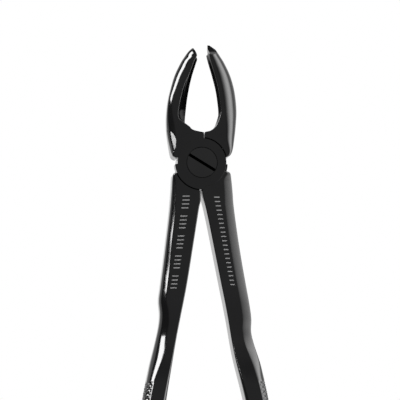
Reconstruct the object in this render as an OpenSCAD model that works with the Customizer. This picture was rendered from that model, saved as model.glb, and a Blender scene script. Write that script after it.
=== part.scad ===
// Extraction forceps with a screw joint: two crossed forgings that turn on one slotted screw.
// Lengths are in mm and angles in degrees. X is across the forceps, Y runs from the handles to the
// beaks, and Z comes up out of the joint's front face. The pivot axis is the Z axis, and z = 0 is the
// flat back of the joint. "Out" means away from the middle plane between the two handles.
// The two forgings are drawn a little open, with about 3 between the beak tips.

/* [Joint] */
// thickness of the joint, both halves together
joint_t = 9; // [8:0.5:11]
// radius of each joint disc where it turns inside the other half's beak
disc_r_beak = 8.1; // [7:0.1:9]
// radius of each joint disc where it turns inside the other half's handle
disc_r_handle = 9.0; // [8:0.1:10]
// radial gap between a disc and the recess it turns in
recess_gap = 0.3; // [0.15:0.05:0.5]
// gap between the two lapped faces
lap_gap = 0.1; // [0.05:0.01:0.2]

/* [Screw] */
// radius of the screw's head
head_r = 5.0; // [4:0.1:5.5]
// thickness of the screw's head
head_t = 2.2; // [1.5:0.1:2.6]
// radius of the screw's shank
shank_r = 3.0; // [2:0.1:3.5]
// width of the driver slot
slot_w = 0.75; // [0.7:0.05:1.6]
// depth of the driver slot
slot_d = 1.1; // [0.6:0.1:1.4]
// direction of the slot, measured from +X
slot_angle = -32; // [-90:1:90]

/* [Beaks] */
// distance from the pivot to the plain beak's tip
plain_tip = 38.15; // [37.5:0.05:40]
// distance from the pivot to the pointed beak's tip
claw_tip = 39.25; // [39:0.05:41]
// height of the middle of the beak tips above the middle of the joint
tip_rise = 3.4; // [0:0.2:6]
// distance along Y from the pivot to the plain beak's foot
plain_foot = 1.6; // [0.8:0.1:2.4]
// distance along Y from the pivot to the pointed beak's foot
claw_foot = 1.8; // [1:0.1:2.4]
// depth of the hollow that grips the tooth
hollow_d = 2.3; // [1:0.1:3]
// radius of the two scallops beside the pointed beak's centre point
scallop_r = 4.0; // [3:0.1:5]
// half width of the centre point at its end
point_half = 0.35; // [0.2:0.05:0.6]
// how far past the tip the scallops are centred
scallop_past = 0.3; // [0:0.1:1]
// how much shallower the back scallop is than the front one
back_shallow = 1.0; // [0:0.1:2]

// radius of the facet ground on the plain beak's shoulder
facet_r = 5.1; // [4:0.1:7]
// slope of that facet
facet_slope = 31; // [20:1:45]

/* [Handles] */
// distance from the pivot to the handle ends
handle_l = 137; // [125:1:145]
// distance along Y from the pivot to the left handle's shoulder
left_ear = 3.2; // [2.4:0.1:4]
// distance along Y from the pivot to the right handle's shoulder
right_ear = 3.0; // [2.4:0.1:4]
// depth of the handles at the grip
grip_depth = 10.6; // [9:0.1:12]
// how far the middle of the handles arches above the rest plane
grip_arch = 1.6; // [0:0.1:3]
// radius of the handles' outer edges at the grip
grip_edge_r = 3.0; // [2:0.1:3.4]
// radius of the handles' outer edges near the joint
shank_edge_r = 2.4; // [1.5:0.1:3]

/* [Hidden] */
$fn = 96;
mid_z = joint_t / 2;
// the joint discs stand this much proud of the rest of the forging
proud = 0.03;
// half of the gap between the two halves where they part above and below the discs
part_gap = 0.2;
// where the two beaks part above the discs, along X
part_top = 0.9;
// where the two handles part below the discs, measured out on the left side
part_low = 0.4;
// radial clearance of the bore that turns on the screw, and of the one the screw is fixed in
turning_gap = 0.05;
fixed_gap = 0.02;
// clearance round and under the screw's head
head_gap = 0.12;
head_under = 0.05;
// chamfers of the screw's head and of its shank's end
head_chamfer = 0.06;
shank_chamfer = 0.25;
// the large part of a disc reaches this far past the middle and stops this far below the pivot
lobe_past = 0.9;
lobe_below = [0.5, 0.1];
// the shoulder facet: its middle, the point where it reaches the front face, and its turn
facet_at = [-13.6, 6.75];
facet_edge = [-8.45, 7.0];
facet_turn = 8;
// how far a cutter reaches past the face that it cuts
past = 1;
// radius of the rounded handle ends
end_r = 4;
steel = [0.13, 0.13, 0.14];
screw_steel = [0.17, 0.17, 0.18];

// Curves are given as [distance from the pivot along Y, distance out], and run smoothly through
// their points. A negative distance out is past the middle, on the other side.
plain_outer = [[plain_foot, 8.8], [2.1, 9.6], [3, 10.0], [5, 10.45], [9, 11.15], [13, 11.45],
  [17.2, 11.35], [21.25, 10.8], [25.45, 9.75], [29.6, 8.4], [33.65, 6.4], [35.75, 5.0], [37.15, 3.9],
  [plain_tip, 2.75]];
// the plain beak's inner edge at the back; at the front it is further out by the lean
plain_inner = [[plain_foot, part_gap - part_top], [8.4, part_gap - part_top], [9.5, part_gap - part_top],
  [9.8, -0.6], [10.3, 0.6], [10.75, 2.3], [11.2, 3.25], [12.0, 3.95], [13.1, 4.55], [14.8, 4.7],
  [18, 4.4], [22, 3.9], [26.25, 3.1], [30.3, 2.1], [34.05, 0.9], [35.45, 0.55], [36.85, 1.4],
  [plain_tip, 2.3]];
plain_lean = [[plain_foot, 0], [12.0, 0], [13, 0.8], [14.5, 2.6], [16.5, 3.1], [19, 3.0], [22, 2.75],
  [25.75, 2.3], [29.5, 1.5], [34.25, 1.15], [35.55, 0.7], [36.85, 0.25], [plain_tip, 0]];
claw_outer = [[claw_foot, 8.5], [2.3, 9.4], [3.4, 10.1], [5.4, 10.7], [9.3, 11.4], [13.3, 11.9],
  [17.2, 12.2], [21.25, 12.0], [25.45, 11.35], [29.6, 10.1], [33.65, 8.1], [35.65, 6.75], [37.65, 5.15],
  [38.5, 4.15], [claw_tip, 3.1]];
claw_inner = [[claw_foot, part_gap + part_top], [8.4, part_gap + part_top], [9.5, part_gap + part_top],
  [9.8, 1.17], [10.2, 1.6], [10.5, 2.7], [10.9, 3.45], [11.4, 4.1], [12.1, 4.8], [13.4, 5.5],
  [15.2, 6.15], [17.2, 6.6], [21.25, 6.3], [25.45, 5.65], [29.6, 4.6], [33.65, 3.35], [35.65, 2.75],
  [37.55, 2.35], [claw_tip, 2.45]];
claw_lean = [[claw_foot, 0], [claw_tip, 0]];
left_outer = [[left_ear, 8.7], [3.6, 9.4], [4.6, 9.8], [9, 10.15], [14, 10.6], [19, 11.2], [24, 11.88],
  [33, 13.1], [41, 14.25], [45.5, 14.85], [50, 14.55], [54, 14.95], [60, 16.35], [68, 18.5],
  [80, 21.0], [95, 22.6], [110, 22.8], [125, 21.7], [handle_l, 19.8]];
right_outer = [[right_ear, 8.4], [3.4, 9.2], [4.5, 9.6], [9, 10.05], [14, 10.35], [24, 11.5],
  [33, 12.75], [41, 14.0], [48, 15.15], [52, 15.6], [56, 15.5], [60, 16.3], [68, 18.65],
  [80, 21.0], [95, 22.6], [110, 22.8], [125, 21.7], [handle_l, 19.8]];
// the handles' inner edges start at the parting line and open out below the crotch
left_inner = [[left_ear, part_low + part_gap], [12.4, part_low + part_gap], [13.4, 0.76], [14.6, 1.1],
  [20, 2.05], [28, 3.45], [40, 5.6], [52, 8.1], [64, 10.5], [80, 13.4], [95, 15.2], [110, 15.6],
  [125, 14.8], [handle_l, 13.4]];
right_inner = [[right_ear, part_gap - part_low], [8.2, part_gap - part_low], [9.4, -0.16], [12.5, 0.4],
  [14.6, 0.9], [20, 2.0], [28, 3.45], [40, 5.6], [52, 7.8], [64, 9.7], [80, 13.1], [95, 15.2],
  [110, 15.6], [125, 14.8], [handle_l, 13.4]];
// heights: [distance from the pivot along Y, height of the section's middle], and half its depth
beak_mid = [[0, mid_z], [9, mid_z], [11, mid_z + 0.02], [13, mid_z + 0.03 * tip_rise],
  [17, mid_z + 0.1 * tip_rise], [21.5, mid_z + 0.17 * tip_rise], [28, mid_z + 0.29 * tip_rise],
  [33, mid_z + 0.54 * tip_rise], [claw_tip, mid_z + tip_rise]];
plain_half = [[0, mid_z - proud], [12, mid_z - proud], [20, 4.35], [28, 4.1], [33.65, 3.9], [35.95, 3.4],
  [37.35, 2.5], [plain_tip, 1.5]];
claw_half = [[0, mid_z - proud], [12, mid_z - proud], [20, 4.4], [28, 4.2], [34.65, 4.0], [37.75, 3.5],
  [claw_tip, 2.6]];
grip_mid = [[0, mid_z], [14, mid_z], [30, mid_z + 0.04], [44, mid_z + 0.2], [51, mid_z + 0.12],
  [57.5, mid_z + 0.12], [64, mid_z + 0.7], [74, mid_z + 1.9], [88, mid_z + grip_arch + 0.8],
  [110, mid_z + 0.6 * grip_arch + 0.8], [handle_l, grip_depth / 2]];
grip_half = [[0, mid_z - proud], [14, mid_z - proud], [30, mid_z - proud], [44, mid_z + 0.02],
  [51, mid_z - 0.1], [57.5, mid_z - 0.4], [64, mid_z - 0.1], [74, 0.47 * grip_depth],
  [88, grip_depth / 2], [handle_l, grip_depth / 2]];
// how far across the handles' front outer edges are rounded, and how deep against that
left_front = [[3, 2.1], [16, 2.3], [26, 2.9], [36, 3.5], [46, 3.6], [56, 4.6], [70, 5.2]];
right_front = [[3, 2.7], [16, 3.1], [60, 3.1]];
left_deep = 0.76;
right_deep = 0.37;
// the shanks' edges turn into the grips' round ones between these distances
to_grip = [60, 72];
// the rounding of a beak's outer edges, across and deep: small at the foot, the whole section by
// the hollow; the plain beak's front edge is rounded less deep
round_across = [[1.5, 0.6], [3.4, 1.1], [7.5, 3.2], [12, 4.1], [20, 5.6], [40, 5.6]];
round_deep = [[1.5, 0.6], [3.4, 1.0], [7.5, 2.6], [12, 3.3], [20, 4.3], [40, 4.3]];
plain_front = [[0, 1], [7.5, 0.9], [14, 0.62], [40, 0.62]];
claw_front = [[0, 1], [40, 1]];

// a smooth curve through the points of t
function seg(t, y, i = 0) = (i >= len(t) - 2 || y < t[i + 1][0]) ? i : seg(t, y, i + 1);
function rise(t, i, j) = (t[j][1] - t[i][1]) / (t[j][0] - t[i][0]);
function slope(t, i) = rise(t, max(i - 1, 0), min(i + 1, len(t) - 1));
function curve(t, y) = let(
    i = seg(t, y),
    h = t[i + 1][0] - t[i][0],
    u = min(max((y - t[i][0]) / h, 0), 1),
    u2 = u * u,
    u3 = u2 * u
  ) (2 * u3 - 3 * u2 + 1) * t[i][1] + (u3 - 2 * u2 + u) * h * slope(t, i)
    + (3 * u2 - 2 * u3) * t[i + 1][1] + (u3 - u2) * h * slope(t, i + 1);
function ramp(y, a, b) = let(u = min(max((y - a) / (b - a), 0), 1)) u * u * (3 - 2 * u);

// the corner of a beak's foot is round up to here
foot_end = 3.2;
// stations along Y, close together where the shape turns quickly
function stops(list) = [for (k = [0 : len(list) - 2]) for (j = [0 : list[k][1] - 1])
    list[k][0] + (list[k + 1][0] - list[k][0]) * j / list[k][1]];
beak_stops = [[foot_end, 4], [8.4, 2], [9.8, 8], [12, 5], [15, 10], [34, 8]];
grip_stops = [[0, 3], [1.6, 6], [12.4, 4], [16, 9], [42, 8], [62, 16]];

// a quarter of an ellipse round [c, z], from the angle "from", with n steps
function corner(c, z, rx, rz, from, n) = [for (k = [0 : n])
    [c + rx * cos(from + 90 * k / n), z + rz * sin(from + 90 * k / n)]];

// the broken edge along a hollow
rim = 0.15;
// the hollow deepens between the first two distances, and fades between the next two, down to a part
hollow_in = [11, 19];
hollow_out = [34, 38.5];
hollow_fade = 0.85;
// the most of the front edge's width that the hollow takes, and what it leaves besides
hollow_share = 0.45;
hollow_left = 0.1;
// the most of a section that its roundings take: of its width, of its half depth, and of a rim's width
round_most = 0.96;
deep_most = 0.97;
rim_most = 0.25;
// a beak that leans is scooped out: its hollow drops from the front rim, and starts to run in to the
// back rim here, measured from -1 at the back to 1 at the front
scoop_at = -0.1;
// how much shallower the hollow is where the beak leans by full_lean
lean_share = 0.6;
full_lean = 3;
function scoop(s) = pow(max((scoop_at - s) / (1 + scoop_at), 0), 1.5);
// the beak's section: the outside from the back rim round to the front rim, then the hollow back again
corner_n = 5;
side_n = 2 * corner_n + 4;
function beak_ring(y, inner, outer, half, lean, front) = let(
    ui = curve(inner, y),
    uo = curve(outer, y),
    uf = ui + curve(lean, y),
    w = uo - ui,
    wf = uo - uf,
    zc = curve(beak_mid, y),
    b = curve(half, y),
    e = min(rim, rim_most * wf),
    rx = min(curve(round_across, y), round_most * (w - e)),
    rz = min(curve(round_deep, y), deep_most * b),
    rxf = min(curve(round_across, y), round_most * (wf - e)),
    rzf = min(rz, rxf * curve(front, y)),
    d = min(hollow_d, max(hollow_share * wf - hollow_left, 0))
      * ramp(y, hollow_in[0], hollow_in[1]) * (1 - hollow_fade * ramp(y, hollow_out[0], hollow_out[1]))
      * (1 - lean_share * min((uf - ui) / full_lean, 1))
  ) concat(
    [[ui + e, zc - b]],
    corner(uo - rx, zc - b + rz, rx, rz, -90, corner_n),
    corner(uo - rxf, zc + b - rzf, rxf, rzf, 0, corner_n),
    [[uf + e, zc + b]],
    [for (k = [0 : side_n - 1]) let(s = 1 - 2 * k / (side_n - 1))
      [uf - (uf - ui) * scoop(s) + d * (1 - s * s), zc + (b - e) * s]]);

// where the handles' outer edges, then their inner ones, grow to the grip's radius
outer_grows = [40, 80];
inner_grows = [58, 85];
// radius of the inner edges near the joint and at the grip
inner_edge_r = [0.35, 1.5];
// the most of a handle's width that an inner, an outer and a front edge take, and of its half depth
inner_most = 0.3;
outer_most = 0.42;
front_most = 0.75;
edge_most = 0.8;
// how much the rounded end narrows, against how much it thins
end_narrows = 0.75;
// the handle's section: a rectangle with large rounds outside and small ones inside
function grip_ring(s, inner, outer, front, deep) = let(
    left = handle_l - s,
    shrink = left < end_r ? end_r * (1 - sqrt(max(1 - pow(1 - left / end_r, 2), 0))) : 0,
    ui = curve(inner, s) + shrink * end_narrows,
    uo = curve(outer, s) - shrink * end_narrows,
    w = uo - ui,
    zc = curve(grip_mid, s),
    b = curve(grip_half, s) - shrink,
    outer_r = shank_edge_r + (grip_edge_r - shank_edge_r) * ramp(s, outer_grows[0], outer_grows[1]),
    inner_r = inner_edge_r[0] + (inner_edge_r[1] - inner_edge_r[0]) * ramp(s, inner_grows[0], inner_grows[1]),
    ro = min(outer_r, outer_most * w, edge_most * b),
    ri = min(inner_r, inner_most * w, edge_most * b),
    across = curve(front, s),
    turned = ramp(s, to_grip[0], to_grip[1]),
    rxf = min(across + (ro - across) * turned, front_most * w),
    rzf = min(across * deep + (ro - across * deep) * turned, edge_most * b)
  ) concat(
    corner(uo - ro, zc - b + ro, ro, ro, -90, 5),
    corner(uo - rxf, zc + b - rzf, rxf, rzf, 0, 5),
    corner(ui + ri, zc + b - ri, ri, ri, 90, 3),
    corner(ui + ri, zc - b + ri, ri, ri, 180, 3));

// joins a row of rings into one closed solid; dir turns the faces over, and is 1 where they already
// face out
function flip(f, dir) = dir > 0 ? f : [f[2], f[1], f[0]];
function quad(a, b, c, d, dir) = [flip([a, b, c], dir), flip([a, c, d], dir)];
function rungs(q, n, way) = [for (k = [0 : n / 2 - 2])
    each quad(q + k, q + k + 1, q + n - 2 - k, q + n - 1 - k, way)];
function fan(q, n, way) = [for (k = [1 : n - 2]) flip([q, q + k, q + k + 1], way)];
module skin(rings, dir, ladder) {
  n = len(rings[0]);
  m = len(rings);
  points = [for (r = rings) each r];
  sides = [for (i = [0 : m - 2]) for (j = [0 : n - 1])
    let(a = i * n + j, b = i * n + (j + 1) % n)
    each quad(a, b, b + n, a + n, dir)];
  // the flat ends: rungs across a hollow section, a fan across a convex one
  ends = [for (q = [0, (m - 1) * n])
    let(way = q == 0 ? -dir : dir)
    each (ladder ? rungs(q, n, way) : fan(q, n, way))];
  polyhedron(points = points, faces = concat(sides, ends));
}

module beak(side, inner, outer, half, lean, front, foot, tip) {
  ys = concat(stops(concat([[foot, 4]], beak_stops, [[tip, 1]])), [tip]);
  rings = [for (y = ys) [for (p = beak_ring(y, inner, outer, half, lean, front)) [side * p[0], y, p[1]]]];
  skin(rings, side, true);
}

module handle(side, inner, outer, front, deep, ear) {
  below = stops(concat(grip_stops, [[handle_l - ear - end_r, 6], [handle_l - ear, 1]]));
  ss = concat([for (s = below) s + ear], [handle_l]);
  rings = [for (s = ss) [for (p = grip_ring(s, inner, outer, front, deep)) [side * p[0], -s, p[1]]]];
  skin(rings, -side, false);
}

// a joint disc: the small radius all round, the large one on the side that turns in the other handle
module disc(side, z0, t, grow) {
  reach = disc_r_handle + grow + past;
  below = lobe_below[side > 0 ? 1 : 0];
  translate([0, 0, z0]) cylinder(r = disc_r_beak + grow, h = t);
  intersection() {
    translate([0, 0, z0]) cylinder(r = disc_r_handle + grow, h = t);
    translate([side > 0 ? -lobe_past - grow : lobe_past + grow - 2 * reach, -reach, z0 - past])
      cube([2 * reach, reach - below, t + 2 * past]);
  }
}

// the facet ground on the plain beak's shoulder: a round cut whose floor slopes down to the left
module shoulder_facet() {
  intersection() {
    translate([facet_at[0], facet_at[1], 0]) cylinder(r = facet_r, h = joint_t + past);
    translate([facet_edge[0], facet_edge[1], joint_t - proud])
      rotate([0, 0, -facet_turn]) rotate([0, -facet_slope, 0])
        translate([-2 * facet_r, -2 * facet_r, 0]) cube([4 * facet_r, 4 * facet_r, 2 * facet_r]);
  }
}

// the hole that the screw goes through
module bore(r) {
  translate([0, 0, -past]) cylinder(r = r, h = joint_t + 2 * past);
}

// one of the two round cuts that leave a point in the middle of the pointed beak's tip
module scallop(way, shallow) {
  height = curve(beak_mid, claw_tip) + way * (scallop_r + point_half);
  translate([-past, claw_tip + scallop_past + shallow, height])
    rotate([0, 90, 0]) cylinder(r = scallop_r, h = disc_r_handle);
}

module front_half() {
  color(steel)
  difference() {
    union() {
      beak(-1, plain_inner, plain_outer, plain_half, plain_lean, plain_front, plain_foot, plain_tip);
      handle(1, right_inner, right_outer, right_front, right_deep, right_ear);
      disc(-1, mid_z + lap_gap / 2, mid_z - lap_gap / 2, 0);
    }
    disc(1, -past, mid_z + lap_gap / 2 + past, recess_gap);
    shoulder_facet();
    bore(shank_r + turning_gap);
    translate([0, 0, joint_t - head_t - head_under])
      cylinder(r = head_r + head_gap, h = head_t + past);
  }
}

module back_half() {
  color(steel)
  difference() {
    union() {
      beak(1, claw_inner, claw_outer, claw_half, claw_lean, claw_front, claw_foot, claw_tip);
      handle(-1, left_inner, left_outer, left_front, left_deep, left_ear);
      disc(1, 0, mid_z - lap_gap / 2, 0);
    }
    disc(-1, mid_z - lap_gap / 2, joint_t, recess_gap);
    bore(shank_r + fixed_gap);
    scallop(1, 0);
    scallop(-1, back_shallow);
  }
}

module pivot_screw() {
  color(screw_steel)
  difference() {
    rotate_extrude()
      polygon([[0, 0], [shank_r - shank_chamfer, 0], [shank_r, shank_chamfer], [shank_r, joint_t - head_t],
        [head_r, joint_t - head_t], [head_r, joint_t - head_chamfer], [head_r - head_chamfer, joint_t],
        [0, joint_t]]);
    rotate([0, 0, slot_angle])
      translate([-head_r - past, -slot_w / 2, joint_t - slot_d])
        cube([2 * (head_r + past), slot_w, slot_d + past]);
  }
}

front_half();
back_half();
pivot_screw();
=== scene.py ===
"""Extraction forceps: two crossed black-coated forgings and the slotted screw that they turn on.

Lengths in the shape functions are in millimetres in the model's own frame, and become metres when a
mesh is made. X is across the forceps, Y runs from the handles to the beaks, and Z comes up out of the
joint's front face. "Out" is the distance from the middle plane between the two handles. "Plain" is the
plain beak on the left, and "claw" is the pointed one on the right.
"""
import math

import bpy
import numpy as np
from mathutils import Matrix, Vector


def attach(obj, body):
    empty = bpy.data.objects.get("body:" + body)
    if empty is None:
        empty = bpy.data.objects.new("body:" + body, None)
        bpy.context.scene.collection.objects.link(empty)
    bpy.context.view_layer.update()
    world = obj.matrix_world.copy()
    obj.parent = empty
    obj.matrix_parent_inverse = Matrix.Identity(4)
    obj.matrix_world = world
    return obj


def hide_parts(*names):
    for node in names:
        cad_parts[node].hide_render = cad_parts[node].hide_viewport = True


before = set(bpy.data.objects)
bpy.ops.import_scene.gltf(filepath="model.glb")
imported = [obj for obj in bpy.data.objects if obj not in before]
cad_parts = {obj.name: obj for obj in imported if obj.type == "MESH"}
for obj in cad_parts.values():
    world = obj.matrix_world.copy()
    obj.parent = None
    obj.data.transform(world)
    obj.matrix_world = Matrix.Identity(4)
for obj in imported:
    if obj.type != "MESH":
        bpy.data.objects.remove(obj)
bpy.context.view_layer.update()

MM = 0.001

# ---------------------------------------------------------------- driving dimensions, in mm

JOINT_T = 9.0
MID_Z = JOINT_T / 2
LAP_GAP = 0.1          # between the two discs' faces
DISC_R_BEAK = 8.1
DISC_R_HANDLE = 9.0
RECESS_GAP = 0.3
PROUD = 0.03           # the joint discs stand this much proud of the rest of the forging
INSIDE = 0.012         # the skins' outer surfaces are kept in by this, so that they stay in the CAD box
PAST = 1.0             # how far a cutter reaches past the face that it cuts; a recess twice as far
EDGE = 0.1             # the broken edge left on the discs
FINE_EDGE = 0.06       # and the finer one on the screw's head and its recess
LOBE_PAST = 0.9        # the large part of a disc reaches this far past the middle
LOBE_BELOW = {-1: 0.5, 1: 0.1}

HEAD_R = 5.0
HEAD_T = 2.2
HEAD_GAP = 0.12
HEAD_UNDER = 0.05
SHANK_R = 3.0
TURNING_GAP = 0.05     # round the shank, in the half that turns on it
FIXED_GAP = 0.02       # and in the half that it is screwed into
SHANK_END = [(0.0, -0.25), (0.12, -0.08), (0.25, 0.0)]     # (height, how far the radius is moved out)
LEDGE = 0.001          # the small rise that a flat ledge is drawn with
SLOT_W = 0.75
SLOT_D = 1.1
SLOT_ANGLE = math.radians(-32)
SLOT_EDGE = 0.12
SLOT_LIP = 0.14
SLOT_LIP_UP = 0.02

PLAIN_TIP = 38.15
CLAW_TIP = 39.25
PLAIN_FOOT = 1.6
CLAW_FOOT = 1.8
TIP_RISE = 3.4
ROUND_MOST = 0.96      # the most of a beak's width that its rounding takes
DEEP_MOST = 0.97       # and of half its depth
RIM_FOOT = 0.07        # the rounding of a beak's rims beside the crotch
RIM = 0.15             # and further out
RIM_GROWS = (9.5, 13)
RIM_MOST = 0.25        # and never more than this share of the front face's width
HOLLOW_D = 2.3
HOLLOW_SHARE = 0.45    # the most of a beak's width that its hollow takes, less HOLLOW_LEFT
HOLLOW_LEFT = 0.1
HOLLOW_IN = (11, 19)
HOLLOW_OUT = (34, 38.5)
HOLLOW_FADE = 0.85
SCOOP_AT = -0.1        # where the scoop starts, from -1 at the back to 1 at the front
SCOOP_POWER = 1.5
FULL_LEAN = 3          # a beak that leans this much has a hollow that is shallower by LEAN_SHARE
LEAN_SHARE = 0.6
RIDGES = 9
RIDGE_H = 0.07
RIDGES_IN = (20, 23)
RIDGES_OUT = (34.5, 36.5)
SCALLOP_R = 4.0
SCALLOP_ACROSS = (-2, 10)
SCALLOP_PAST = 0.3
POINT_HALF = 0.35
BACK_SHALLOW = 1.0

HANDLE_L = 137.0
LEFT_EAR = 3.2
RIGHT_EAR = 3.0
EAR_SPAN = 3.2         # the rounding grows from EAR_SHARE to full over this length
EAR_SHARE = 0.35
GRIP_DEPTH = 10.6
GRIP_ARCH = 1.6
END_R = 4.0
END_NARROWS = 0.75
SHANK_EDGE_R = 2.4
GRIP_EDGE_R = 3.0
OUTER_GROWS = (40, 80)
OUTER_MOST = 0.42
SHANK_INNER_R = 0.35
GRIP_INNER_R = 1.5
INNER_GROWS = (58, 85)
INNER_MOST = 0.3
FRONT_MOST = 0.75
EDGE_MOST = 0.8
TO_GRIP = (60, 72)     # where the shanks' front edges turn into the grips' round ones
KNURL_PITCH = 1.5
KNURL_DEPTH = 0.26
KNURL_FROM = 72.0
KNURL_TO = 128.0
KNURL_FADE = 0.5
KNURL_ROUND = (5.4, 5.9)       # how far round from the middle of the side it fades out
KNURL_FLANK = 1.25

FACET_R = 5.1          # the round cut that grinds a facet on the plain beak's shoulder
FACET_AT = (-13.6, 6.75)
FACET_EDGE = (-8.45, 7.0)
FACET_ROLL = 1.1
FACET_SLOPE = math.radians(31)
FACET_TURN = math.radians(8)
FACET_FLARE = 0.3
FACET_MIDDLE = 0.02    # the smallest of the cutter's rings, against its radius
FACET_RINGS = 60
FACET_N = 192

BEVEL_TIGHT = 0.05     # the radius of a bevel's bends, against the radius where it dwells
BEVEL_DWELL = 4.0
BEVEL_STEPS = 400

MARK_W = 0.34
MARK_UP = 0.012
MARK_DOWN = 0.05
LEFT_MARKS_FROM = 11.0
LEFT_GROUPS = 5
LEFT_GROUP_PITCH = 6.6
LEFT_BARS = 4
LEFT_BAR_PITCH = 1.3
LEFT_BAR_ACROSS = (0.38, 0.62)
RIGHT_MARKS_FROM = 11.4
RIGHT_BARS = 21
RIGHT_BAR_PITCH = 1.45
RIGHT_BAR_ACROSS = (0.36, 0.54)

ROUND_N = 288          # points round a disc, a bore or the screw
SHARP_ANGLE = math.radians(32)

# ---------------------------------------------------------------- outlines
# Each curve is a list of (distance from the pivot along Y, value), and runs smoothly through its points.

PLAIN_OUTER = [(PLAIN_FOOT, 8.8), (2.1, 9.6), (3, 10.0), (5, 10.45), (9, 11.15), (13, 11.45),
               (17.2, 11.35), (21.25, 10.8), (25.45, 9.75), (29.6, 8.4), (33.65, 6.4), (35.75, 5.0),
               (37.15, 3.9), (PLAIN_TIP, 2.75)]
# the plain beak's inner edge at the back; at the front it is further out by the lean
PLAIN_INNER = [(PLAIN_FOOT, -0.75), (8.4, -0.75), (9.9, -0.75), (10.08, -0.68), (10.33, 0.6),
               (10.75, 2.3), (11.2, 3.25), (12.0, 3.95), (13.1, 4.55), (14.8, 4.7), (18, 4.4), (22, 3.9),
               (26.25, 3.1), (30.3, 2.1), (34.05, 0.9), (35.45, 0.55), (36.85, 1.4), (PLAIN_TIP, 2.3)]
# the point at 11.2 keeps the curve from dipping beside the crotch, where the two halves nearly meet
PLAIN_LEAN = [(PLAIN_FOOT, 0), (11.2, 0), (12.0, 0), (13, 0.8), (14.5, 2.6), (16.5, 3.1), (19, 3.0),
              (22, 2.75), (25.75, 2.3), (29.5, 1.5), (34.25, 1.15), (35.55, 0.7), (36.85, 0.25),
              (PLAIN_TIP, 0)]
CLAW_OUTER = [(CLAW_FOOT, 8.5), (2.3, 9.4), (3.4, 10.1), (5.4, 10.7), (9.3, 11.4), (13.3, 11.9),
              (17.2, 12.2), (21.25, 12.0), (25.45, 11.35), (29.6, 10.1), (33.65, 8.1), (35.65, 6.75),
              (37.65, 5.15), (38.5, 4.15), (CLAW_TIP, 3.1)]
CLAW_INNER = [(CLAW_FOOT, 1.04), (8.4, 1.04), (9.9, 1.04), (10.08, 1.1), (10.27, 1.6), (10.5, 2.7),
              (10.9, 3.45), (11.4, 4.1), (12.1, 4.8), (13.4, 5.5), (15.2, 6.15), (17.2, 6.6),
              (21.25, 6.3), (25.45, 5.65), (29.6, 4.6), (33.65, 3.35), (35.65, 2.75), (37.55, 2.35),
              (CLAW_TIP, 2.45)]
CLAW_LEAN = [(CLAW_FOOT, 0), (CLAW_TIP, 0)]
LEFT_OUTER = [(LEFT_EAR, 8.7), (3.6, 9.4), (4.6, 9.8), (9, 10.15), (14, 10.6), (19, 11.2), (24, 11.88),
              (33, 13.1), (41, 14.25), (45.5, 14.85), (50, 14.55), (54, 14.95), (60, 16.35), (68, 18.5),
              (80, 21.0), (95, 22.6), (110, 22.8), (125, 21.7), (HANDLE_L, 19.8)]
RIGHT_OUTER = [(RIGHT_EAR, 8.4), (3.4, 9.2), (4.5, 9.6), (9, 10.05), (14, 10.35), (24, 11.5), (33, 12.75),
               (41, 14.0), (48, 15.15), (52, 15.6), (56, 15.5), (60, 16.3), (68, 18.65), (80, 21.0),
               (95, 22.6), (110, 22.8), (125, 21.7), (HANDLE_L, 19.8)]
LEFT_INNER = [(LEFT_EAR, 0.6), (12.4, 0.6), (13.4, 0.76), (14.6, 1.1), (20, 2.05), (28, 3.45), (40, 5.6),
              (52, 8.1), (64, 10.5), (80, 13.4), (95, 15.2), (110, 15.6), (125, 14.8), (HANDLE_L, 13.4)]
RIGHT_INNER = [(RIGHT_EAR, -0.2), (8.2, -0.2), (9.4, -0.16), (12.5, 0.4), (14.6, 0.9), (20, 2.0),
               (28, 3.45), (40, 5.6), (52, 7.8), (64, 9.7), (80, 13.1), (95, 15.2), (110, 15.6),
               (125, 14.8), (HANDLE_L, 13.4)]

# heights of the sections' middles, and half their depths
BEAK_MID = [(0, MID_Z), (9, MID_Z), (11, MID_Z + 0.02), (13, MID_Z + 0.03 * TIP_RISE),
            (17, MID_Z + 0.1 * TIP_RISE), (21.5, MID_Z + 0.17 * TIP_RISE), (28, MID_Z + 0.29 * TIP_RISE),
            (33, MID_Z + 0.54 * TIP_RISE), (CLAW_TIP, MID_Z + TIP_RISE)]
PLAIN_HALF = [(0, MID_Z - PROUD), (12, MID_Z - PROUD), (20, 4.35), (28, 4.1), (33.65, 3.9), (35.95, 3.4),
              (37.35, 2.5), (PLAIN_TIP, 1.5)]
CLAW_HALF = [(0, MID_Z - PROUD), (12, MID_Z - PROUD), (20, 4.4), (28, 4.2), (34.65, 4.0), (37.75, 3.5),
             (CLAW_TIP, 2.6)]
GRIP_MID = [(0, MID_Z), (14, MID_Z), (18, MID_Z + 0.01), (24, MID_Z + 0.07), (34, MID_Z + 0.3),
            (45.5, MID_Z + 0.58), (51, MID_Z + 0.3), (57.5, MID_Z + 0.12), (64, MID_Z + 0.7),
            (74, MID_Z + 1.9), (88, MID_Z + GRIP_ARCH + 0.8), (110, MID_Z + 0.6 * GRIP_ARCH + 0.8),
            (HANDLE_L, GRIP_DEPTH / 2)]
GRIP_HALF = [(0, MID_Z - PROUD), (14, MID_Z - PROUD), (30, MID_Z - PROUD), (44, MID_Z + 0.02),
             (51, MID_Z - 0.1), (57.5, MID_Z - 0.4), (64, MID_Z - 0.1), (74, 0.47 * GRIP_DEPTH),
             (88, GRIP_DEPTH / 2), (HANDLE_L, GRIP_DEPTH / 2)]

# how far across the beaks' edges are rounded, and how deep
ROUND_ACROSS = [(1.5, 0.6), (3.4, 1.1), (7.5, 3.2), (12, 4.1), (20, 5.6), (40, 5.6)]
ROUND_DEEP = [(1.5, 0.6), (3.4, 1.0), (7.5, 2.6), (12, 3.3), (20, 4.3), (40, 4.3)]
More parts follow.
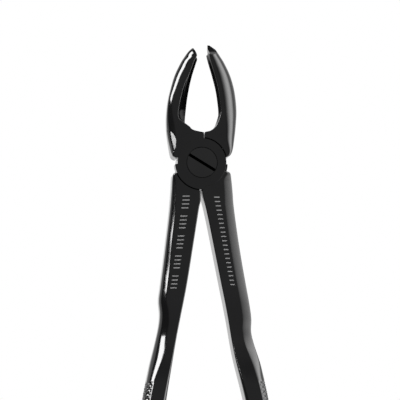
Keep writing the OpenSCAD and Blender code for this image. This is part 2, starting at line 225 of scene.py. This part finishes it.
# the plain beak's front edge is rounded less far across
PLAIN_ACROSS = [(1.5, 0.6), (3.4, 1.1), (7.5, 3.2), (12, 3.8), (16, 3.0), (19.5, 2.3), (22.5, 2.3),
                (24.5, 2.7), (27, 3.2), (30.5, 3.8), (35, 4.6), (40, 5.6)]
# how deep a beak's front edge is rounded, against how far across
PLAIN_FRONT = [(0, 1), (7.5, 0.9), (14, 0.62), (40, 0.62)]
CLAW_FRONT = [(0, 1), (40, 1)]
# how far across the handles' front edges are rounded, and how deep against that
LEFT_FRONT = [(3, 1.4), (9, 2.0), (14, 2.5), (18, 2.75), (27, 2.8), (36, 3.3), (46, 3.5), (56, 4.6),
              (70, 5.2)]
RIGHT_FRONT = [(3, 2.7), (16, 3.1), (60, 3.1)]
LEFT_DEEP = 0.76
RIGHT_DEEP = 0.4
# the right shank's front edge is bevelled: the bevel's slope in degrees, and how much that varies
RIGHT_BEVEL = (15.5, 3.0)

# where the sections are: (start, end, spacing)
BEAK_SPANS = [(3.4, 8.4, 0.5), (8.4, 9.8, 0.2), (9.8, 11.6, 0.07), (11.6, 18, 0.2), (18, 33, 0.4)]
HANDLE_SPANS = [(5.0, 12.4, 0.5), (12.4, 17, 0.25), (17, 70, 0.6), (70, 130, 0.22),
                (130, HANDLE_L - END_R, 0.5), (HANDLE_L - END_R, HANDLE_L - 0.4, 0.2),
                (HANDLE_L - 0.4, HANDLE_L, 0.05)]
ENDS_SPACING = 0.12
TIP_SPACING = 0.15


def curve(points, at):
    """A smooth curve through points, read at every value of at."""
    x, v = np.array(points, float).T
    slope = np.empty(len(x))
    slope[1:-1] = (v[2:] - v[:-2]) / (x[2:] - x[:-2])
    slope[0] = (v[1] - v[0]) / (x[1] - x[0])
    slope[-1] = (v[-1] - v[-2]) / (x[-1] - x[-2])
    i = np.clip(np.searchsorted(x, at, side="right") - 1, 0, len(x) - 2)
    h = x[i + 1] - x[i]
    u = np.clip((at - x[i]) / h, 0, 1)
    u2, u3 = u * u, u * u * u
    return ((2 * u3 - 3 * u2 + 1) * v[i] + (u3 - 2 * u2 + u) * h * slope[i]
            + (3 * u2 - 2 * u3) * v[i + 1] + (u3 - u2) * h * slope[i + 1])


def ramp(value, low, high):
    """0 below low, 1 above high, and smooth between."""
    u = np.clip((value - low) / (high - low), 0, 1)
    return u * u * (3 - 2 * u)


def stations(*spans):
    """Values from span to span: each span is (start, end, spacing)."""
    rows = [np.linspace(a, b, max(2, int(round((b - a) / step)) + 1))[:-1] for a, b, step in spans]
    return np.concatenate(rows + [[spans[-1][1]]])


def quarter(cx, cz, rx, rz, start, n):
    """A quarter ellipse round (cx, cz) from the angle start, for every station: n + 1 points."""
    a = np.radians(start + np.linspace(0, 90, n + 1))
    return (cx[:, None] + rx[:, None] * np.cos(a), cz[:, None] + rz[:, None] * np.sin(a))


def between(u0, z0, u1, z1, n):
    """n points strictly between two ends, for every station."""
    t = np.linspace(0, 1, n + 2)[1:-1]
    return (u0[:, None] + (u1 - u0)[:, None] * t, z0[:, None] + (z1 - z0)[:, None] * t)


def joined(parts):
    """Section pieces in order, as arrays of stations by points."""
    return np.concatenate([p[0] for p in parts], 1), np.concatenate([p[1] for p in parts], 1)


# ---------------------------------------------------------------- meshes

def new_object(name, vertices, faces):
    """A mesh object from millimetres, linked to the scene."""
    mesh = bpy.data.meshes.new(name)
    mesh.from_pydata((np.asarray(vertices, float) * MM).tolist(), [], faces)
    mesh.validate()
    obj = bpy.data.objects.new(name, mesh)
    bpy.context.scene.collection.objects.link(obj)
    return obj


def skin(name, x, y, z, outward):
    """A closed solid through rings. x and z are stations by points and y is one value a station.
    outward is 1 or -1, and turns the faces out."""
    m, n = x.shape
    points = np.stack([x, np.repeat(y[:, None], n, 1), z], -1).reshape(-1, 3)
    faces = []
    for i in range(m - 1):
        for j in range(n):
            a, b = i * n + j, i * n + (j + 1) % n
            quad = (a, b, b + n, a + n)
            faces.append(quad if outward > 0 else quad[::-1])
    first = tuple(range(n))
    last = tuple(range((m - 1) * n, m * n))
    faces.append(first[::-1] if outward > 0 else first)
    faces.append(last if outward > 0 else last[::-1])
    return new_object(name, points, faces)


def ring_faces(n, rings):
    """The faces of a closed solid of rings of n points each, one above the other."""
    faces = [(i * n + j, i * n + (j + 1) % n, (i + 1) * n + (j + 1) % n, (i + 1) * n + j)
             for i in range(rings - 1) for j in range(n)]
    faces.append(tuple(range(n))[::-1])
    faces.append(tuple(range((rings - 1) * n, rings * n)))
    return faces


def stack(name, radius, levels):
    """A closed solid of flat outlines one above the other. radius(angle) is the outline's radius, and
    levels are (height, how far the outline is moved out)."""
    angle = np.linspace(0, 2 * math.pi, ROUND_N, endpoint=False)
    r = radius(angle)
    n = len(angle)
    rings = [np.stack([(r + out) * np.cos(angle), (r + out) * np.sin(angle), np.full(n, float(height))], -1)
             for height, out in levels]
    return new_object(name, np.concatenate(rings), ring_faces(n, len(rings)))


def combine(target, operation, *others):
    """Applies a boolean to target with each of the others, which are then removed."""
    for other in others:
        modifier = target.modifiers.new("combine", "BOOLEAN")
        modifier.operation = operation
        modifier.solver = "MANIFOLD"
        modifier.object = other
        bpy.context.view_layer.update()
        evaluated = target.evaluated_get(bpy.context.evaluated_depsgraph_get())
        applied = bpy.data.meshes.new_from_object(evaluated)
        target.modifiers.remove(modifier)
        target.data = applied
        bpy.data.objects.remove(other)
    return target


# ---------------------------------------------------------------- beaks

def beak(name, side, inner, outer, half, lean, across, front, foot, tip):
    """One beak: rounded outside, hollow inside, from its foot beside the joint to its tip."""
    y = stations((foot, BEAK_SPANS[0][0], ENDS_SPACING), *BEAK_SPANS, (BEAK_SPANS[-1][1], tip, TIP_SPACING))
    ui, uo = curve(inner, y), curve(outer, y) - INSIDE
    uf = ui + curve(lean, y)
    zc, b = curve(BEAK_MID, y), curve(half, y) - INSIDE
    w, wf = uo - ui, uo - uf
    rim = np.minimum(RIM_FOOT + (RIM - RIM_FOOT) * ramp(y, *RIM_GROWS), RIM_MOST * wf)
    rx = np.minimum(curve(ROUND_ACROSS, y), ROUND_MOST * (w - rim))
    rz = np.minimum(curve(ROUND_DEEP, y), DEEP_MOST * b)
    rxf = np.minimum(curve(across, y), ROUND_MOST * (wf - rim))
    rzf = np.minimum(rz, rxf * curve(front, y))
    hollow = (np.minimum(HOLLOW_D, np.maximum(HOLLOW_SHARE * wf - HOLLOW_LEFT, 0)) * ramp(y, *HOLLOW_IN)
              * (1 - HOLLOW_FADE * ramp(y, *HOLLOW_OUT)))
    s = np.linspace(1, -1, 57)[1:-1]
    # fine ridges along the hollow, so that it doesn't slip on the tooth
    ridge = RIDGE_H * ramp(y, *RIDGES_IN) * (1 - ramp(y, *RIDGES_OUT)) * np.minimum(1, hollow)
    ridges = ridge[:, None] * (0.5 + 0.5 * np.cos(s * RIDGES * math.pi)) * (1 - s ** 8)
    # a beak that leans keeps its front rim's line down to the scoop, which then runs in to the back rim
    scoop = np.clip((SCOOP_AT - s) / (1 + SCOOP_AT), 0, 1) ** SCOOP_POWER
    leaning = np.clip((uf - ui) / FULL_LEAN, 0, 1)[:, None]
    bowl = hollow[:, None] * (1 - s * s) * (1 - LEAN_SHARE * leaning)
    inside = (uf[:, None] - (uf - ui)[:, None] * scoop + bowl - ridges,
              zc[:, None] + (b - rim)[:, None] * s)
    u, z = joined([
        quarter(uo - rx, zc - b + rz, rx, rz, -90, 14),
        between(uo, zc - b + rz, uo, zc + b - rzf, 4),
        quarter(uo - rxf, zc + b - rzf, rxf, rzf, 0, 18),
        between(uo - rxf, zc + b, uf + rim, zc + b, 4),
        quarter(uf + rim, zc + b - rim, rim, rim, 90, 4),
        inside,
        quarter(ui + rim, zc - b + rim, rim, rim, 180, 4),
        between(ui + rim, zc - b, uo - rx, zc - b, 4),
    ])
    return skin(name, side * u, y, z, -side)


# ---------------------------------------------------------------- handles

def running_sum(values):
    """The area under values so far, from 0 at the first of them."""
    return np.concatenate([[0], np.cumsum(0.5 * (values[1:] + values[:-1]))])


def bevelled(across, slope, spread, n):
    """A front edge that dwells at one slope: for every station, n points from the side up to the face.
    slope and spread are in degrees. Gives the distances in from the side and down from the face."""
    tilt = np.radians(np.linspace(90, 0, BEVEL_STEPS))
    radius = BEVEL_TIGHT + BEVEL_DWELL * np.exp(-((np.degrees(tilt) - slope) / spread) ** 2)
    inward = running_sum(radius * np.cos(tilt))
    upward = running_sum(radius * np.sin(tilt))
    length = np.concatenate([[0], np.cumsum(np.hypot(np.diff(inward), np.diff(upward)))])
    # half of the points follow the length and half the turn, so that the tight bends stay round
    step = np.arange(BEVEL_STEPS)
    follow = 0.5 * length / length[-1] + 0.5 * np.linspace(0, 1, BEVEL_STEPS)
    at = np.interp(np.linspace(0, 1, n), follow, step)
    size = (across / inward[-1])[:, None]
    down = upward[-1] - np.interp(at, step, upward)
    return np.interp(at, step, inward)[None, :] * size, down[None, :] * size


def around(uo, zc, b, r, rxf, rzf, bevel, bevel_mix, corner_n, side_n):
    """The outside of a handle's section, from its back face round to its front face. The back corner is
    round with the radius r. The front one is an ellipse, mixed with a bevel of the given (slope, spread).
    Gives the points, the outward direction at each and the distance round from the middle of the side."""
    back_a = np.radians(np.linspace(-90, 0, corner_n))[None, :]
    front_a = np.radians(np.linspace(0, 90, corner_n))[None, :]
    low = zc - b + r
    inward = rxf[:, None] * (1 - np.cos(front_a))
    down = rzf[:, None] * (1 - np.sin(front_a))
    if bevel:
        bevel_in, bevel_down = bevelled(rxf, *bevel, corner_n)
        inward = inward + (bevel_in - inward) * bevel_mix[:, None]
        down = down + (bevel_down - down) * bevel_mix[:, None]
    high = zc + b - down[:, 0]
    u = np.concatenate([(uo - r)[:, None] + r[:, None] * np.cos(back_a),
                        np.repeat(uo[:, None], side_n, 1),
                        uo[:, None] - inward], 1)
    step = np.linspace(0, 1, side_n + 2)[None, 1:-1]
    z = np.concatenate([low[:, None] + r[:, None] * np.sin(back_a),
                        low[:, None] + (high - low)[:, None] * step,
                        (zc + b)[:, None] - down], 1)
    out = np.concatenate([np.repeat(np.cos(back_a), len(uo), 0), np.ones((len(uo), side_n)),
                          np.cos(front_a) / rxf[:, None]], 1)
    up = np.concatenate([np.repeat(np.sin(back_a), len(uo), 0), np.zeros((len(uo), side_n)),
                         np.sin(front_a) / rzf[:, None]], 1)
    length = np.hypot(out, up)
    steps = np.hypot(np.diff(u, axis=1), np.diff(z, axis=1))
    t = np.concatenate([np.zeros((len(uo), 1)), np.cumsum(steps, 1)], 1)
    middle = r * math.pi / 2 + (high - low) / 2
    return u, z, out / length, up / length, t - middle[:, None]


def handle(name, side, inner, outer, front, deep, bevel, ear):
    """One handle, from its shoulder beside the joint to its rounded end, with a cross-cut grip."""
    s = stations((ear, HANDLE_SPANS[0][0], ENDS_SPACING), *HANDLE_SPANS)
    to_end = np.clip((HANDLE_L - s) / END_R, 0, 1)
    shrink = END_R * (1 - np.sqrt(1 - (1 - to_end) ** 2))
    ui = curve(inner, s) + shrink * END_NARROWS
    uo = curve(outer, s) - shrink * END_NARROWS - INSIDE
    zc = curve(GRIP_MID, s)
    b = curve(GRIP_HALF, s) - shrink - INSIDE
    w = uo - ui
    ro = np.minimum(SHANK_EDGE_R + (GRIP_EDGE_R - SHANK_EDGE_R) * ramp(s, *OUTER_GROWS),
                    np.minimum(OUTER_MOST * w, EDGE_MOST * b))
    ri = np.minimum(SHANK_INNER_R + (GRIP_INNER_R - SHANK_INNER_R) * ramp(s, *INNER_GROWS),
                    np.minimum(INNER_MOST * w, EDGE_MOST * b))
    # the shank's front edge has a rounding of its own, which becomes the same as the back's at the grip
    to_grip = ramp(s, *TO_GRIP)
    across = curve(front, s)
    rxf = np.minimum(across + (ro - across) * to_grip, FRONT_MOST * w)
    rzf = np.minimum(across * deep + (ro - across * deep) * to_grip, EDGE_MOST * b)
    # the ears end in a small corner, so the outside is rounded less there
    at_ear = EAR_SHARE + (1 - EAR_SHARE) * ramp(s, ear, ear + EAR_SPAN)
    ro, rxf, rzf = ro * at_ear, rxf * at_ear, rzf * at_ear
    u, z, nu, nz, t = around(uo, zc, b, ro, rxf, rzf, bevel, 1 - to_grip, 26, 34)
    wave = [np.abs(((s[:, None] + k * t) / KNURL_PITCH) % 1 - 0.5) * 2 for k in (-1, 1)]
    height = np.minimum(wave[0], wave[1])
    along = ramp(s, KNURL_FROM, KNURL_FROM + KNURL_FADE) * (1 - ramp(s, KNURL_TO - KNURL_FADE, KNURL_TO))
    zone = along[:, None] * (1 - ramp(np.abs(t), *KNURL_ROUND))
    cut = KNURL_DEPTH * zone * (1 - np.clip(height * KNURL_FLANK, 0, 1))
    u, z = joined([
        (u - nu * cut, z - nz * cut),
        between(uo - rxf, zc + b, ui + ri, zc + b, 3),
        quarter(ui + ri, zc + b - ri, ri, ri, 90, 5),
        between(ui, zc + b - ri, ui, zc - b + ri, 3),
        quarter(ui + ri, zc - b + ri, ri, ri, 180, 5),
        between(ui + ri, zc - b, uo - ro, zc - b, 3),
    ])
    return skin(name, side * u, -s, z, side)


# ---------------------------------------------------------------- joint

def disc_outline(side, grow):
    """The joint disc's radius by angle. It is the larger one on the side that turns in the other handle:
    lower left (side -1) for the front disc, lower right (side 1) for the back disc."""
    def radius(angle):
        large = DISC_R_HANDLE + grow
        past_middle = side * np.cos(angle) * large > -LOBE_PAST - grow
        below = np.sin(angle) * large < -LOBE_BELOW[side]
        return np.where(past_middle & below, large, DISC_R_BEAK + grow)
    return radius


def disc(name, side, low, high, top):
    """A joint disc from low to high, with the edge of its outer face broken. top is True for the front
    disc."""
    levels = [(low, 0.0), (high - EDGE, 0.0), (high, -EDGE)]
    if not top:
        levels = [(low, -EDGE), (low + EDGE, 0.0), (high, 0.0)]
    return stack(name, disc_outline(side, 0.0), levels)


def recess(name, side, low, high, top):
    """What the other half's disc cuts out of this half, flared where it opens on the outer face."""
    face = JOINT_T if top else 0.0
    if top:
        levels = [(low, 0.0), (face - EDGE, 0.0), (face, EDGE), (high, EDGE)]
    else:
        levels = [(low, EDGE), (face, EDGE), (face + EDGE, 0.0), (high, 0.0)]
    return stack(name, disc_outline(side, RECESS_GAP), levels)


def bore(name, r, low, high, flare_at=None):
    """A round hole's cutter, flared at flare_at, the height of the face that it opens on, if given."""
    levels = [(low, 0.0), (high, 0.0)]
    if flare_at is not None:
        levels = [(low, 0.0), (flare_at - FINE_EDGE, 0.0), (flare_at, FINE_EDGE), (high, FINE_EDGE)]
    return stack(name, lambda angle: np.full_like(angle, r), levels)


def shoulder_facet():
    """The cutter of the facet on the plain beak's shoulder: round walls, and a floor that slopes down to
    the left and rolls over at the beak's outer edge."""
    angle = np.linspace(0, 2 * math.pi, FACET_N, endpoint=False)
    rings = []
    for reach in np.linspace(FACET_MIDDLE, 1, FACET_RINGS):
        x = FACET_AT[0] + reach * FACET_R * np.cos(angle)
        y = FACET_AT[1] + reach * FACET_R * np.sin(angle)
        along = (x - FACET_EDGE[0]) * math.cos(FACET_TURN) - (y - FACET_EDGE[1]) * math.sin(FACET_TURN)
        inboard = np.clip(curve(PLAIN_OUTER, y) + x, 0, FACET_ROLL)
        roll = FACET_ROLL - np.sqrt(FACET_ROLL ** 2 - (FACET_ROLL - inboard) ** 2)
        rings.append(np.stack([x, y, JOINT_T - PROUD + along * math.tan(FACET_SLOPE) - roll], -1))
    top = rings[-1].copy()
    top[:, :2] += FACET_FLARE * np.stack([np.cos(angle), np.sin(angle)], -1)
    top[:, 2] = JOINT_T + PAST
    rings.append(top)
    return new_object("shoulder_facet", np.concatenate(rings), ring_faces(len(angle), len(rings)))


def front_half():
    """The forging with the plain beak on the left and the right handle."""
    body = beak("front_half_forging", -1, PLAIN_INNER, PLAIN_OUTER, PLAIN_HALF, PLAIN_LEAN,
                PLAIN_ACROSS, PLAIN_FRONT, PLAIN_FOOT, PLAIN_TIP)
    combine(body, "UNION",
            handle("handle", 1, RIGHT_INNER, RIGHT_OUTER, RIGHT_FRONT, RIGHT_DEEP, RIGHT_BEVEL, RIGHT_EAR),
            disc("disc", -1, MID_Z + LAP_GAP / 2, JOINT_T, True))
    combine(body, "DIFFERENCE",
            recess("recess", 1, -2 * PAST, MID_Z + LAP_GAP / 2, False),
            shoulder_facet(),
            bore("bore", SHANK_R + TURNING_GAP, -PAST, JOINT_T + PAST),
            bore("counterbore", HEAD_R + HEAD_GAP, JOINT_T - HEAD_T - HEAD_UNDER, JOINT_T + PAST, JOINT_T))
    return body


def back_half():
    """The forging with the pointed beak on the right and the left handle."""
    body = beak("back_half_forging", 1, CLAW_INNER, CLAW_OUTER, CLAW_HALF, CLAW_LEAN,
                ROUND_ACROSS, CLAW_FRONT, CLAW_FOOT, CLAW_TIP)
    tip_z = float(curve(BEAK_MID, np.array([CLAW_TIP]))[0])
    scallops = []
    for s in (-1, 1):
        scallop = stack("scallop", lambda angle: np.full_like(angle, SCALLOP_R),
                        [(SCALLOP_ACROSS[0], 0.0), (SCALLOP_ACROSS[1], 0.0)])
        shallower = BACK_SHALLOW if s < 0 else 0
        centre = (0, CLAW_TIP + SCALLOP_PAST + shallower, tip_z + s * (SCALLOP_R + POINT_HALF))
        scallop.data.transform(Matrix.Translation(Vector(centre) * MM) @ Matrix.Rotation(math.pi / 2, 4, "Y"))
        scallops.append(scallop)
    combine(body, "UNION",
            handle("handle", -1, LEFT_INNER, LEFT_OUTER, LEFT_FRONT, LEFT_DEEP, None, LEFT_EAR),
            disc("disc", 1, 0.0, MID_Z - LAP_GAP / 2, False))
    combine(body, "DIFFERENCE",
            recess("recess", -1, MID_Z - LAP_GAP / 2, JOINT_T + 2 * PAST, True),
            bore("bore", SHANK_R + FIXED_GAP, -PAST, JOINT_T + PAST),
            *scallops)
    return body


def pivot_screw():
    """The slotted screw: a flat head flush with the front, and a shank that shows at the back."""
    wide = HEAD_R - SHANK_R
    under = JOINT_T - HEAD_T
    levels = SHANK_END + [(under, 0.0), (under + LEDGE, wide), (JOINT_T - FINE_EDGE, wide),
                          (JOINT_T, wide - FINE_EDGE)]
    screw = stack("slotted_pivot_screw", lambda angle: np.full_like(angle, SHANK_R), levels)
    return combine(screw, "DIFFERENCE", screw_slot())


def screw_slot():
    """The slot's cutter: a bar with a rounded floor and lips that flare where they meet the face."""
    half = SLOT_W / 2
    reach = HEAD_R + PAST
    low = JOINT_T - SLOT_D
    one_side = [(half - SLOT_EDGE, low), (half, low + SLOT_EDGE), (half, JOINT_T - SLOT_EDGE),
                (half + SLOT_LIP, JOINT_T + SLOT_LIP_UP), (half + SLOT_LIP, JOINT_T + PAST)]
    outline = one_side + [(-v, z) for v, z in reversed(one_side)]
    n = len(outline)
    points = [(x, v, z) for x in (-reach, reach) for v, z in outline]
    slot = new_object("slot", points, [face[::-1] for face in ring_faces(n, 2)])
    slot.data.transform(Matrix.Rotation(SLOT_ANGLE, 4, "Z"))
    return slot


def shank_marks(name, side, inner, outer, starts, across):
    """Plain etched bars on the front of a shank, as one thin inlay. starts are where the bars begin along
    the shank, and across is how far over it they run, from 0 at the inner edge to 1 at the outer one."""
    corners = ((across[0], MARK_UP), (across[1], MARK_UP), (across[1], -MARK_DOWN), (across[0], -MARK_DOWN))
    vertices = []
    faces = []
    for start in starts:
        along = np.array([start, start + MARK_W])
        ui, uo = curve(inner, along), curve(outer, along)
        top = curve(GRIP_MID, along) + curve(GRIP_HALF, along) - INSIDE
        rows = [np.stack([side * (ui + (uo - ui) * share), -along, top + height], -1)
                for share, height in corners]
        base = len(vertices)
        vertices.extend(np.stack(rows, 1).reshape(-1, 3).tolist())
        for face in ring_faces(len(corners), 2):
            bar = tuple(base + k for k in face)
            faces.append(bar[::-1] if side > 0 else bar)
    return new_object(name, vertices, faces)


def left_marks():
    """Groups of fine bars down the left shank."""
    starts = [LEFT_MARKS_FROM + group * LEFT_GROUP_PITCH + bar * LEFT_BAR_PITCH
              for group in range(LEFT_GROUPS) for bar in range(LEFT_BARS)]
    return shank_marks("left_shank_marks", -1, LEFT_INNER, LEFT_OUTER, starts, LEFT_BAR_ACROSS)


def right_marks():
    """One even row of fine bars down the right shank."""
    starts = [RIGHT_MARKS_FROM + bar * RIGHT_BAR_PITCH for bar in range(RIGHT_BARS)]
    return shank_marks("right_shank_marks", 1, RIGHT_INNER, RIGHT_OUTER, starts, RIGHT_BAR_ACROSS)


def finish_surface(obj):
    """Smooth shading, with crisp edges where faces meet at more than the sharp angle."""
    mesh = obj.data
    mesh.shade_smooth()
    mesh.set_sharp_from_angle(angle=SHARP_ANGLE)
    weighted = obj.modifiers.new("weighted normals", "WEIGHTED_NORMAL")
    weighted.keep_sharp = True
    weighted.weight = 60


# ---------------------------------------------------------------- materials

def node_material(name):
    """A material with an empty node tree, its output and a Principled shader."""
    material = bpy.data.materials.new(name)
    material.use_nodes = True
    tree = material.node_tree
    tree.nodes.clear()
    output = tree.nodes.new("ShaderNodeOutputMaterial")
    shader = tree.nodes.new("ShaderNodeBsdfPrincipled")
    tree.links.new(shader.outputs[0], output.inputs["Surface"])
    return material, tree, shader


def coated_steel(name, base, roughness):
    """Gloss black coating on forged steel: slightly uneven gloss and shade, and a faint orange peel."""
    material, tree, shader = node_material(name)
    nodes, links = tree.nodes, tree.links
    place = nodes.new("ShaderNodeTexCoord")
    cloud = nodes.new("ShaderNodeTexNoise")
    cloud.inputs["Scale"].default_value = 90
    cloud.inputs["Detail"].default_value = 4
    links.new(place.outputs["Object"], cloud.inputs["Vector"])
    gloss = nodes.new("ShaderNodeMapRange")
    gloss.inputs["From Min"].default_value = 0.3
    gloss.inputs["From Max"].default_value = 0.7
    gloss.inputs["To Min"].default_value = roughness - 0.03
    gloss.inputs["To Max"].default_value = roughness + 0.04
    links.new(cloud.outputs["Fac"], gloss.inputs["Value"])
    links.new(gloss.outputs["Result"], shader.inputs["Roughness"])
    colour = nodes.new("ShaderNodeMixRGB")
    colour.inputs["Color1"].default_value = (*base, 1)
    colour.inputs["Color2"].default_value = (*(1.5 * channel for channel in base), 1)
    links.new(cloud.outputs["Fac"], colour.inputs["Fac"])
    links.new(colour.outputs["Color"], shader.inputs["Base Color"])
    peel = nodes.new("ShaderNodeTexNoise")
    peel.inputs["Scale"].default_value = 900
    peel.inputs["Detail"].default_value = 2
    links.new(place.outputs["Object"], peel.inputs["Vector"])
    bump = nodes.new("ShaderNodeBump")
    bump.inputs["Strength"].default_value = 0.02
    bump.inputs["Distance"].default_value = 0.0002
    links.new(peel.outputs["Fac"], bump.inputs["Height"])
    links.new(bump.outputs["Normal"], shader.inputs["Normal"])
    shader.inputs["IOR"].default_value = 1.5
    return material


def etched(name):
    """Steel showing grey and matt where the coating has been etched away."""
    material, tree, shader = node_material(name)
    nodes, links = tree.nodes, tree.links
    place = nodes.new("ShaderNodeTexCoord")
    grain = nodes.new("ShaderNodeTexNoise")
    grain.inputs["Scale"].default_value = 1500
    grain.inputs["Detail"].default_value = 3
    links.new(place.outputs["Object"], grain.inputs["Vector"])
    colour = nodes.new("ShaderNodeMixRGB")
    colour.inputs["Color1"].default_value = (0.035, 0.035, 0.035, 1)
    colour.inputs["Color2"].default_value = (0.1, 0.1, 0.1, 1)
    links.new(grain.outputs["Fac"], colour.inputs["Fac"])
    links.new(colour.outputs["Color"], shader.inputs["Base Color"])
    shader.inputs["Roughness"].default_value = 0.55
    return material


# ---------------------------------------------------------------- build

black = coated_steel("black_coated_steel", (0.0022, 0.0022, 0.0023), 0.1)
screw_black = coated_steel("screw_steel", (0.003, 0.003, 0.0031), 0.16)

for build, body, node, slot, material in (
        (front_half, "front", "front_half", "black_coated_steel", black),
        (back_half, "back_and_screw", "back_half", "black_coated_steel", black),
        (pivot_screw, "back_and_screw", "pivot_screw", "screw_steel", screw_black)):
    piece = build()
    finish_surface(piece)
    piece.data.materials.clear()
    piece.data.materials.append(material)
    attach(piece, body)
    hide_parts(node)

bare_steel = etched("etched_steel")
for build, body in ((left_marks, "back_and_screw"), (right_marks, "front")):
    marks = build()
    marks.data.materials.append(bare_steel)
    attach(marks, body)


# ---------------------------------------------------------------- stage

FLOOR_HALF = 3000
FLOOR_DROP = 0.05

# brightness of the dark studio and its ceiling, and the elevations between which one becomes the other
DARK = 0.04
CEILING = 0.3
CEILING_EDGE = (60, 74)
# a panel: azimuths (out, in, in, out), elevations (out, in, in, out), brightness
LEFT_PANEL = ((16, 18, 66, 74), (25, 27, 54, 56), 30.0)
RIGHT_PANEL = ((-60, -20, 40, 80), (-10, 24, 28, 66), 9.0)

# the camera looks down on the front face from a little to the left and a little below; in metres
DISTANCE = 0.70
SIDE = math.radians(6)
BELOW = math.radians(5.5)
ROLL = math.radians(-0.9)
FRAME_WIDTH = 0.132
SENSOR_WIDTH = 36      # in mm
LOOK_AT = Vector((-0.0009, -0.0125, JOINT_T * MM))


def emission(name, colour, strength):
    """A material that only glows."""
    material = bpy.data.materials.new(name)
    material.use_nodes = True
    tree = material.node_tree
    tree.nodes.clear()
    output = tree.nodes.new("ShaderNodeOutputMaterial")
    glow = tree.nodes.new("ShaderNodeEmission")
    glow.inputs["Color"].default_value = (*colour, 1)
    glow.inputs["Strength"].default_value = strength
    tree.links.new(glow.outputs[0], output.inputs["Surface"])
    return material


def pale_floor():
    """The plain floor, just under the forceps."""
    corners = [(x * FLOOR_HALF, y * FLOOR_HALF, -FLOOR_DROP) for x, y in ((-1, -1), (1, -1), (1, 1), (-1, 1))]
    floor = new_object("floor", corners, [(0, 1, 2, 3)])
    floor.data.materials.append(emission("pale_floor", (1, 1, 1), 1.0))


def studio():
    """A dark studio with a dim ceiling and large soft panels to the left and right. The camera itself
    sees a plain white backdrop."""
    world = bpy.data.worlds.new("studio")
    bpy.context.scene.world = world
    world.use_nodes = True
    tree = world.node_tree
    tree.nodes.clear()

    def math_node(operation, a, b=None):
        node = tree.nodes.new("ShaderNodeMath")
        node.operation = operation
        for i, value in enumerate((a, b)):
            if value is None:
                continue
            if isinstance(value, (int, float)):
                node.inputs[i].default_value = value
            else:
                tree.links.new(value, node.inputs[i])
        return node.outputs[0]

    def step(value, start, end):
        """0 at start and 1 at end, smooth between; start may be above end."""
        node = tree.nodes.new("ShaderNodeMapRange")
        node.interpolation_type = "SMOOTHSTEP"
        node.inputs["From Min"].default_value = min(start, end)
        node.inputs["From Max"].default_value = max(start, end)
        node.inputs["To Min"].default_value = 0.0 if start < end else 1.0
        node.inputs["To Max"].default_value = 1.0 if start < end else 0.0
        tree.links.new(value, node.inputs["Value"])
        return node.outputs["Result"]

    place = tree.nodes.new("ShaderNodeTexCoord")
    split = tree.nodes.new("ShaderNodeSeparateXYZ")
    tree.links.new(place.outputs["Generated"], split.inputs[0])
    x, y, z = split.outputs
    degrees = 180 / math.pi
    elevation = math_node("MULTIPLY", math_node("ARCSINE", z), degrees)
    # both azimuths are 0 straight out to their side and grow towards the beaks
    left = math_node("MULTIPLY", math_node("ARCTAN2", y, math_node("MULTIPLY", x, -1.0)), degrees)
    right = math_node("MULTIPLY", math_node("ARCTAN2", y, x), degrees)

    total = math_node("ADD", DARK, math_node("MULTIPLY", step(elevation, *CEILING_EDGE), CEILING - DARK))
    for azimuth, across, up, strength in ((left, *LEFT_PANEL), (right, *RIGHT_PANEL)):
        glow = math_node("MULTIPLY", step(azimuth, across[0], across[1]), step(azimuth, across[3], across[2]))
        glow = math_node("MULTIPLY", glow, step(elevation, up[0], up[1]))
        glow = math_node("MULTIPLY", glow, step(elevation, up[3], up[2]))
        total = math_node("ADD", total, math_node("MULTIPLY", glow, strength))

    room = tree.nodes.new("ShaderNodeBackground")
    tree.links.new(total, room.inputs["Strength"])
    backdrop = tree.nodes.new("ShaderNodeBackground")
    backdrop.inputs["Color"].default_value = (1, 1, 1, 1)
    ray = tree.nodes.new("ShaderNodeLightPath")
    mix = tree.nodes.new("ShaderNodeMixShader")
    out = tree.nodes.new("ShaderNodeOutputWorld")
    tree.links.new(ray.outputs["Is Camera Ray"], mix.inputs["Fac"])
    tree.links.new(room.outputs[0], mix.inputs[1])
    tree.links.new(backdrop.outputs[0], mix.inputs[2])
    tree.links.new(mix.outputs[0], out.inputs["Surface"])


def add_camera():
    """The camera, aimed at LOOK_AT from DISTANCE away, with a view FRAME_WIDTH wide there."""
    back = Vector((-math.tan(SIDE), -math.tan(BELOW), 1)).normalized()
    across = Vector((0, 1, 0)).cross(back).normalized()
    data = bpy.data.cameras.new("camera")
    data.sensor_width = SENSOR_WIDTH
    data.lens = SENSOR_WIDTH * DISTANCE / FRAME_WIDTH
    data.clip_start = 0.01
    data.clip_end = 20
    camera = bpy.data.objects.new("camera", data)
    bpy.context.scene.collection.objects.link(camera)
    camera.location = LOOK_AT + back * DISTANCE
    turn = Matrix((across, back.cross(across), back)).transposed() @ Matrix.Rotation(ROLL, 3, "Z")
    camera.rotation_euler = turn.to_euler()
    bpy.context.scene.camera = camera


pale_floor()
studio()
add_camera()
bpy.context.scene.view_settings.view_transform = "Standard"
